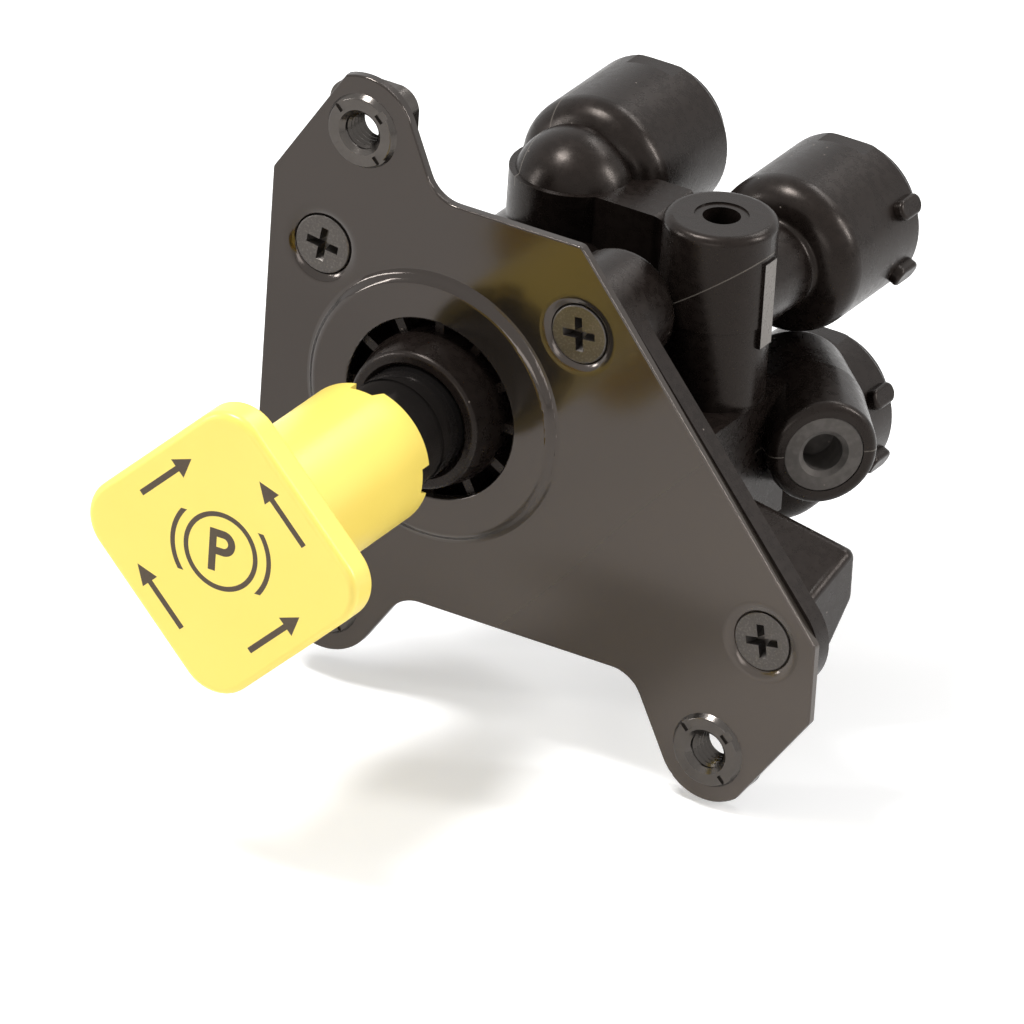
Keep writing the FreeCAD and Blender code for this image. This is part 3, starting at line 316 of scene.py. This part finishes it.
def plate_finish(name):
    """Black coated steel: semi-gloss with a faint waviness and a few scuffs, and a painted
    reflection that runs from near black at the upper left to brown-grey at the lower right.
    """
    finish = Finish(name)
    sweep = finish.noise(16.0, 1.0)
    peel = finish.noise(900.0, 2.0)
    scuff = finish.noise(380.0, 4.0, (0.08, 1.0, 1.0), 0.7)
    x, _, z = finish.axes()
    # Painted reflection: the coating is painted lighter towards the lower right and darker towards
    # the upper left
    painted_reflection_fade = finish.ramp((x - z * 0.9 + 40.0) / 150.0, [(0.1, 0.0), (0.95, 1.0)])
    base = finish.mix(colour(0.003, 0.0022, 0.0018), colour(0.044, 0.037, 0.031), painted_reflection_fade)
    base = finish.mix(base, colour(0.018, 0.015, 0.0125), sweep * 0.3)
    marks = finish.ramp(scuff, [(0.66, 0.0), (0.74, 1.0)])
    base = finish.mix(base, colour(0.05, 0.045, 0.04), marks * 0.12)
    rough = 0.13 + (sweep - 0.5) * 0.04 + (peel - 0.5) * 0.03 + marks * 0.05
    normal = finish.bump(peel * 0.5 + sweep * 3.0, 0.00002, 0.25)
    sheen = {"Specular_IOR_Level": 0.72, "Specular_Tint": WARM}
    return finish.surface(Base_Color=base, Roughness=rough, Normal=normal, **sheen)


def zinc_finish(name, tone, rough_level, wear):
    """Dark plated steel with fine grain, worn in small spots by the given share."""
    finish = Finish(name)
    cloud = finish.noise(260.0, 2.0)
    grain = finish.noise(3200.0, 2.0)
    worn = finish.ramp(finish.noise(2600.0, 3.0), [(0.5, 0.0), (0.68, 1.0)])
    base = finish.mix(scaled(tone, 0.8), scaled(tone, 1.2), cloud)
    base = finish.mix(base, scaled(tone, 2.0), worn * wear)
    rough = rough_level + (cloud - 0.5) * 0.08 + (grain - 0.5) * 0.1
    normal = finish.bump(grain + worn * wear, 0.00002, 0.5)
    return finish.surface(Base_Color=base, Roughness=rough, Normal=normal, Metallic=0.85)


def polished_black_finish(name):
    """Polished black acetal of the plunger, with rings left by turning."""
    finish = Finish(name)
    haze = finish.noise(140.0, 2.0)
    rings = finish.noise(2400.0, 1.0, (0.02, 1.0, 0.02))
    base = finish.mix(colour(0.006, 0.0055, 0.0055), colour(0.011, 0.010, 0.0095), haze)
    rough = 0.08 + haze * 0.06
    normal = finish.bump(rings, 0.00001, 0.35)
    return finish.surface(Base_Color=base, Roughness=rough, Normal=normal, Specular_Tint=WARM)


def arrow(x, z, centre, heading):
    """A plain arrow about centre, pointing along heading in degrees."""
    swing = math.radians(heading)
    along = (x - centre[0]) * math.cos(swing) + (z - centre[1]) * math.sin(swing)
    across = abs((z - centre[1]) * math.cos(swing) - (x - centre[0]) * math.sin(swing))
    shaft = inside(along, -ARROW_REACH, ARROW_SHAFT_END) & (across < ARROW_SHAFT_HALF)
    head_half = (ARROW_REACH - along) * ARROW_HEAD_SLOPE
    head = inside(along, ARROW_HEAD_START, ARROW_REACH) & (across < head_half)
    return shaft | head


def knob_print(finish):
    """A plain parking-brake sign and an arrow along each of the knob's four edges."""
    x, y, z = finish.axes()
    up = z - SIGN_UP
    from_middle = finish.maths("SQRT", x * x + up * up)
    ring = abs(from_middle - SIGN_RING_R) < SIGN_LINE_HALF
    arcs = (abs(from_middle - SIGN_ARC_R) < SIGN_LINE_HALF) & (abs(up) < SIGN_ARC_REACH)
    stem = inside(x, *LETTER_STEM) & inside(up, -LETTER_HALF_HEIGHT, LETTER_HALF_HEIGHT)
    bowl_up = abs(up - LETTER_BOWL_UP)
    right = x - LETTER_BOWL_X
    from_bowl = finish.maths("SQRT", right * right + bowl_up * bowl_up)
    bowl = (abs(from_bowl - LETTER_BOWL_R) < LETTER_BOWL_HALF) & (x > LETTER_BOWL_X)
    bars = inside(bowl_up, *LETTER_BARS_UP) & inside(x, *LETTER_BARS_X)
    marks = ring | arcs | stem | bowl | bars
    for side, rise, heading in ((-1, 1, 45), (1, 1, 135), (-1, -1, 135), (1, -1, 45)):
        marks = marks | arrow(x, z, (side * ARROW_OUT, rise * ARROW_OUT), heading)
    return marks & (y < knob_face_y_mm + PRINT_DEPTH)


def knob_finish(name):
    """Bright yellow gloss plastic with faint flow marks and the dark brown print."""
    finish = Finish(name)
    flow = finish.noise(45.0, 2.0)
    grain = finish.noise(2200.0, 2.0)
    spots = finish.noise(1800.0, 2.0)
    ink = knob_print(finish)
    base = finish.mix(colour(0.95, 0.72, 0.135), colour(0.97, 0.77, 0.165), flow)
    print_tone = finish.mix(colour(0.045, 0.028, 0.012), colour(0.075, 0.048, 0.022), spots)
    base = finish.mix(base, print_tone, ink)
    rough = 0.30 + (flow - 0.5) * 0.06 + (grain - 0.5) * 0.06 + ink * 0.1
    normal = finish.bump(grain + ink * 2.0, 0.00002, 0.3)
    return finish.surface(Base_Color=base, Roughness=rough, Normal=normal)


def rubber_finish(name):
    """Black nitrile rubber with a dull bloom."""
    finish = Finish(name)
    bloom = finish.noise(500.0, 3.0)
    base = finish.mix(colour(0.012, 0.012, 0.012), colour(0.03, 0.03, 0.031), bloom)
    return finish.surface(Base_Color=base, Roughness=0.5 + bloom * 0.25)


def bright_metal_finish(name, tone, rough_level):
    """Bright turned or drawn metal."""
    finish = Finish(name)
    cloud = finish.noise(260.0, 3.0)
    lines = finish.noise(3000.0, 1.0, (0.03, 1.0, 0.03))
    base = finish.mix(scaled(tone, 0.8), scaled(tone, 1.0), cloud)
    rough = rough_level + (cloud - 0.5) * 0.1
    normal = finish.bump(lines, 0.00001, 0.3)
    return finish.surface(Base_Color=base, Roughness=rough, Metallic=1.0, Normal=normal)


finishes = {
    "body_plastic": nylon_finish("body_nylon", (0.0070, 0.0050, 0.0042), 0.26, True),
    "plate_steel": plate_finish("plate_coating"),
    "screw_steel": zinc_finish("screw_black_zinc", (0.082, 0.074, 0.068), 0.36, 0.45),
    "nut_steel": zinc_finish("nut_black_zinc", (0.085, 0.076, 0.069), 0.20, 0.08),
    "spool_plastic": polished_black_finish("spool_acetal"),
    "knob_plastic": knob_finish("knob_yellow"),
    "plug_plastic": nylon_finish("plug_nylon", (0.075, 0.069, 0.064), 0.46),
    "seal_rubber": rubber_finish("seal_nitrile"),
    "spring_steel": bright_metal_finish("spring_bright", (0.55, 0.55, 0.56), 0.3),
    "seat_brass": bright_metal_finish("seat_turned_brass", (0.72, 0.52, 0.22), 0.28),
    "collet_plastic": nylon_finish("collet_acetal", (0.016, 0.015, 0.0145), 0.33),
}
thread_metal = bright_metal_finish("thread_dark", (0.075, 0.068, 0.062), 0.22)


def dress_cad_nodes():
    """Gives every CAD node the finish of its material slot."""
    for subpart in frame["record"]["subparts"]:
        node = frame["nodes"][subpart["node"]]
        node.data.materials.clear()
        node.data.materials.append(finishes[subpart["material_slot"]])


# New pieces

# Thread of the clinch nuts; the profile's heights are shares of the pitch
THREAD_PITCH = 1.0 * MM
THREAD_LOW_Y = -0.05 * MM
THREAD_TURNS = 4.6
THREAD_STEPS = 40
THREAD_DEPTH = 0.42 * MM
THREAD_ROOT_SINK = 0.04 * MM
THREAD_PROFILE = (0.06, 0.44, 0.56, 0.94)


def new_piece(name, made, body, material):
    """Turns a bmesh into a piece that rides on a CAD body."""
    bmesh.ops.recalc_face_normals(made, faces=made.faces)
    mesh = bpy.data.meshes.new(name)
    made.to_mesh(mesh)
    made.free()
    piece = bpy.data.objects.new(name, mesh)
    bpy.context.scene.collection.objects.link(piece)
    mesh.materials.append(material)
    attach(piece, body)
    return piece


def nut_thread(number, place):
    """The helical thread ridge inside a clinch nut."""
    crest_r = nut_bore_r - THREAD_DEPTH
    root_r = nut_bore_r + THREAD_ROOT_SINK
    made = bmesh.new()
    profile = zip((root_r, crest_r, crest_r, root_r), THREAD_PROFILE)
    verts = [
        made.verts.new((place.x + radius, THREAD_LOW_Y + part * THREAD_PITCH, place.z))
        for radius, part in profile
    ]
    section = made.faces.new(verts)
    bmesh.ops.spin(
        made,
        geom=[section] + section.edges[:] + section.verts[:],
        cent=(place.x, 0, place.z),
        axis=(0, 1, 0),
        dvec=(0, THREAD_PITCH / THREAD_STEPS, 0),
        angle=2 * math.pi * THREAD_TURNS,
        steps=int(THREAD_TURNS * THREAD_STEPS),
        use_merge=False,
        use_duplicate=False,
    )
    return new_piece("nut_thread_%d" % number, made, "valve", thread_metal)


# Stage, lights and camera

FLOOR_RADIUS = 1.6
FLOOR_SEGMENTS = 96
FLOOR_DROP = 1.0 * MM
FLOOR_LIFT = 0.32
SURROUND_LIT = 0.38
SURROUND_SEEN = 1.0

# Each lamp's name, place, size and power
LAMPS = (
    ("key_top", (-0.22, -0.15, 0.75), (0.18, 0.18), 5.4),
    ("fill_left", (-0.8, -0.55, 0.25), (0.10, 0.45), 2.8),
    ("rim_right", (0.75, 0.35, 0.45), (0.10, 0.40), 4.0),
    ("front_low", (0.25, -0.9, 0.15), (0.5, 0.2), 1.0),
    ("strip_back", (0.15, 0.55, 0.65), (0.5, 0.08), 1.6),
)


def pale_floor():
    """A pale floor under the valve that keeps its shadow."""
    low, high = cad_box
    centre = (low + high) / 2
    made = bmesh.new()
    bmesh.ops.create_circle(made, cap_ends=True, segments=FLOOR_SEGMENTS, radius=FLOOR_RADIUS)
    bmesh.ops.translate(made, verts=made.verts, vec=(centre.x, centre.y, low.z - FLOOR_DROP))
    mesh = bpy.data.meshes.new("floor")
    made.to_mesh(mesh)
    made.free()
    floor = bpy.data.objects.new("floor", mesh)
    bpy.context.scene.collection.objects.link(floor)
    finish = Finish("floor_white")
    mottle = finish.noise(3.0, 1.0)
    base = finish.mix(colour(0.86, 0.86, 0.86), colour(0.9, 0.9, 0.9), mottle)
    seen = finish.node("ShaderNodeLightPath", out="Is Camera Ray")
    lift = finish.mix(colour(0, 0, 0), scaled((1, 1, 1), FLOOR_LIFT), seen)
    mesh.materials.append(
        finish.surface(Base_Color=base, Roughness=0.9, Emission_Color=lift, Emission_Strength=1.0)
    )


def white_surround():
    """A world that lights softly and is seen as white."""
    world = bpy.data.worlds.new("surround")
    bpy.context.scene.world = world
    nodes = Nodes(world)
    lit_sockets = {"Color": colour(1.0, 0.985, 0.965), "Strength": SURROUND_LIT}
    seen_sockets = {"Color": colour(1, 1, 1), "Strength": SURROUND_SEEN}
    lit = nodes.node("ShaderNodeBackground", (), lit_sockets)
    seen = nodes.node("ShaderNodeBackground", (), seen_sockets)
    camera_ray, glossy_ray, transmission_ray = [
        nodes.node("ShaderNodeLightPath", out=ray)
        for ray in ("Is Camera Ray", "Is Glossy Ray", "Is Transmission Ray")
    ]
    sees_white = camera_ray | glossy_ray | transmission_ray
    blend = nodes.node("ShaderNodeMixShader", (), {0: sees_white, 1: lit, 2: seen})
    nodes.node("ShaderNodeOutputWorld", (), {"Surface": blend})


def soft_light(name, place, size, power):
    """An area lamp that looks at the valve."""
    data = bpy.data.lights.new(name, "AREA")
    data.shape = "RECTANGLE"
    data.size, data.size_y = size
    data.energy = power
    lamp = bpy.data.objects.new(name, data)
    bpy.context.scene.collection.objects.link(lamp)
    lamp.location = place
    lamp.rotation_euler = (VIEW_CENTRE - Vector(place)).to_track_quat("-Z", "Y").to_euler()


def photo_camera():
    """The camera at the photograph's angle, far away with a long lens."""
    azimuth = math.radians(VIEW_AZIMUTH)
    elevation = math.radians(VIEW_ELEVATION)
    roll = math.radians(VIEW_ROLL)
    level = Vector((math.cos(azimuth), math.sin(azimuth), 0))
    side = math.cos(elevation)
    back = Vector((math.sin(azimuth) * side, -math.cos(azimuth) * side, math.sin(elevation)))
    rise = back.cross(level)
    right = level * math.cos(roll) + rise * math.sin(roll)
    up = back.cross(right)
    data = bpy.data.cameras.new("photo_view")
    data.sensor_width = SENSOR_WIDTH
    data.lens = SENSOR_WIDTH * VIEW_DISTANCE / VIEW_WIDTH
    data.clip_end = VIEW_CLIP_END
    camera = bpy.data.objects.new("photo_view", data)
    bpy.context.scene.collection.objects.link(camera)
    turn = Matrix((right, up, back)).transposed()
    camera.matrix_world = Matrix.Translation(VIEW_CENTRE + back * VIEW_DISTANCE) @ turn.to_4x4()
    bpy.context.scene.camera = camera


dress_cad_nodes()
for number, place in enumerate(nut_places, 1):
    nut_thread(number, place)
pale_floor()
white_surround()
for lamp in LAMPS:
    soft_light(*lamp)
photo_camera()
bpy.context.scene.view_settings.view_transform = "Standard"
